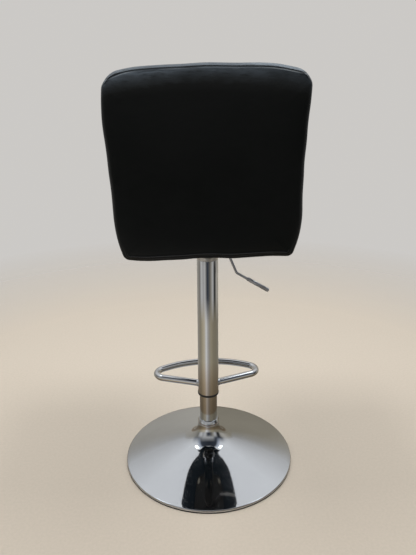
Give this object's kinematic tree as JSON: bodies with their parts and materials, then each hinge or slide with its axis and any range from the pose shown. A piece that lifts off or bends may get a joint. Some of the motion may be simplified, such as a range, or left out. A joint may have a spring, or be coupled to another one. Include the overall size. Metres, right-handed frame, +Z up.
{
  "type": "threading chair",
  "caption": "Upholstered swivel chair with an L-shaped seat and back, gas lift, side release lever, D footrest and a chrome trumpet base.",
  "frame": {"origin": "on the floor, on the axis of the gas lift, at the middle of the base ring's lower face", "axes": "+Z up along the lift, +Y towards the sitter's front, +X towards the sitter's right, where the lever is"},
  "size_m": [0.41, 0.4441, 0.9735],
  "materials": {
    "base_chrome": "polished",
    "tube_chrome": "polished",
    "rod_chrome": "ground",
    "lever_steel": "dull plated",
    "cap_steel": "satin",
    "weld": "plated weld",
    "steel": "ground",
    "zinc_steel": "zinc plated",
    "painted_steel": "black powder coat",
    "cast_iron": "as cast, primed",
    "brass": "stamped",
    "seal": "brown fibre and rubber",
    "rubber": "matt",
    "black_plastic": "moulded",
    "plywood": "raw plywood",
    "leatherette": "smooth black leatherette, a coated fabric, over foam",
    "black_cloth": "black non-woven cloth"
  },
  "bodies": {
    "base": {"base_shell": "base_chrome", "floor_ring": "rubber", "ballast": "cast_iron", "column_tube": "tube_chrome", "column_seal": "seal", "column_collar": "base_chrome", "column_foot": "steel", "base_washer": "zinc_steel", "base_nut": "zinc_steel", "guide_bush": "black_plastic", "bearing_lower_race": "steel", "bearing_rollers": "steel", "bearing_cage": "brass", "rod_washer": "zinc_steel"},
    "rod": {"bearing_upper_race": "steel", "piston_rod": "rod_chrome", "piston": "steel", "rod_clip": "zinc_steel"},
    "seat": {"gas_cylinder": "painted_steel", "cylinder_gland": "steel", "cover_tube": "tube_chrome", "cover_ring": "black_plastic", "cover_cap": "cap_steel", "footrest": "tube_chrome", "footrest_welds": "weld", "swivel_plate": "painted_steel", "lever_housing": "painted_steel", "taper_socket": "painted_steel", "pivot_pin": "zinc_steel", "pivot_spacers": "zinc_steel", "plate_bolts": "zinc_steel", "plate_washers": "zinc_steel", "tee_nuts": "zinc_steel", "seat_board": "plywood", "back_board": "plywood", "frame_straps": "painted_steel", "strap_screws": "zinc_steel", "seat_cushion": "leatherette", "back_cushion": "leatherette", "rear_pad": "leatherette", "dust_cover": "black_cloth"},
    "lever": {"lever_rocker": "painted_steel", "lever_rod": "lever_steel", "lever_sleeve": "lever_steel"},
    "valve": {"valve_button": "steel"}
  },
  "joints": [
    {"name": "swivel", "type": "hinge", "parent": "base", "child": "rod", "pos_m": [0, 0, 0.041], "axis": [0, 0, 1], "continuous": true},
    {"name": "height", "type": "slide", "parent": "rod", "child": "seat", "axis": [0, 0, 1], "range_m": [-0.06, 0.15]},
    {"name": "lever_lift", "type": "hinge", "parent": "seat", "child": "lever", "pos_m": [0.022, 0, 0.573], "axis": [0, -1, 0], "range_deg": [0, 10], "stiffness_Nm_per_rad": 3, "springref_deg": -8.59},
    {"name": "valve_press", "type": "slide", "parent": "seat", "child": "valve", "axis": [0, 0, -1], "range_m": [0, 0.00389]}
  ],
  "couplings": [
    {"joint": "valve_press", "follows": "lever_lift", "m_per_rad": 0.022}
  ]
}
